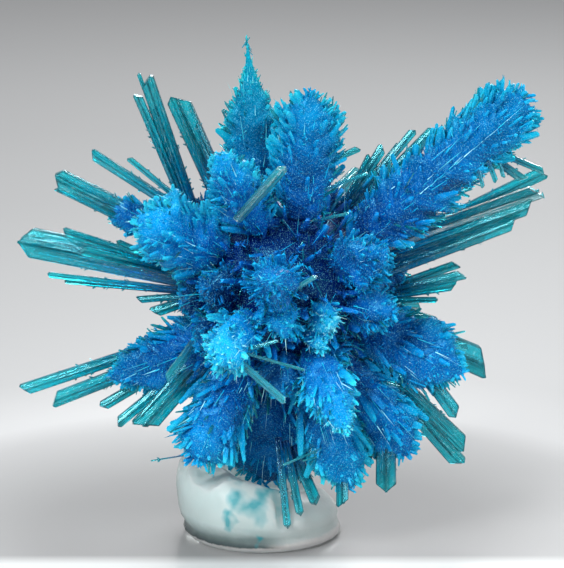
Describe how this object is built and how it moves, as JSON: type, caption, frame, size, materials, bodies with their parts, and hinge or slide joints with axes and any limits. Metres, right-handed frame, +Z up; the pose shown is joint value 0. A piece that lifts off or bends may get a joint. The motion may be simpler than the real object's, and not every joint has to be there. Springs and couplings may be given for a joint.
{
  "type": "pentagonite crystal cluster",
  "caption": "Blue pentagonite spray: needle-coated feathers and clear lath-like blades fork off a dense crystal heart that stands in a pressed lump of translucent mounting putty.",
  "frame": {"origin": "middle of the putty's flat underside, on the surface that the specimen stands on", "axes": "+Z up, +X to the viewer's right and -Y toward the viewer, as in the picture"},
  "size_m": [0.0294, 0.0208, 0.0281],
  "materials": {
    "needle_coated_crystal": "fine glassy needles",
    "clear_blue_crystal": "glossy, transparent",
    "mounting_putty": "soft translucent gloss"
  },
  "bodies": {
    "root": {"top_spike": "needle_coated_crystal", "top_feather": "needle_coated_crystal", "upper_right_feather": "needle_coated_crystal", "right_front_feather": "needle_coated_crystal", "right_front_tuft": "needle_coated_crystal", "lower_right_feather": "needle_coated_crystal", "front_lower_feather": "needle_coated_crystal", "lower_right_skirt": "needle_coated_crystal", "bottom_feather": "needle_coated_crystal", "lower_left_feather": "needle_coated_crystal", "left_front_tuft": "needle_coated_crystal", "centre_feather": "needle_coated_crystal", "left_feather": "needle_coated_crystal", "upper_left_feather": "needle_coated_crystal", "back_top_feather": "needle_coated_crystal", "back_left_feather": "needle_coated_crystal", "back_right_feather": "needle_coated_crystal", "back_centre_feather": "needle_coated_crystal", "back_lower_feather": "needle_coated_crystal", "back_lower_left_feather": "needle_coated_crystal", "crystal_heart": "needle_coated_crystal", "upper_left_long_blade": "clear_blue_crystal", "upper_left_short_blade": "clear_blue_crystal", "upper_left_laths": "clear_blue_crystal", "left_upper_blade": "clear_blue_crystal", "left_blade": "clear_blue_crystal", "left_needles": "clear_blue_crystal", "lower_left_fan": "clear_blue_crystal", "right_blade": "clear_blue_crystal", "right_lath_bundle": "clear_blue_crystal", "right_lower_blade": "clear_blue_crystal", "lower_right_blade": "clear_blue_crystal", "upper_right_laths": "clear_blue_crystal", "back_upper_blades": "clear_blue_crystal", "back_left_blades": "clear_blue_crystal", "back_right_blades": "clear_blue_crystal", "mounting_putty": "mounting_putty"}
  },
  "joints": []
}
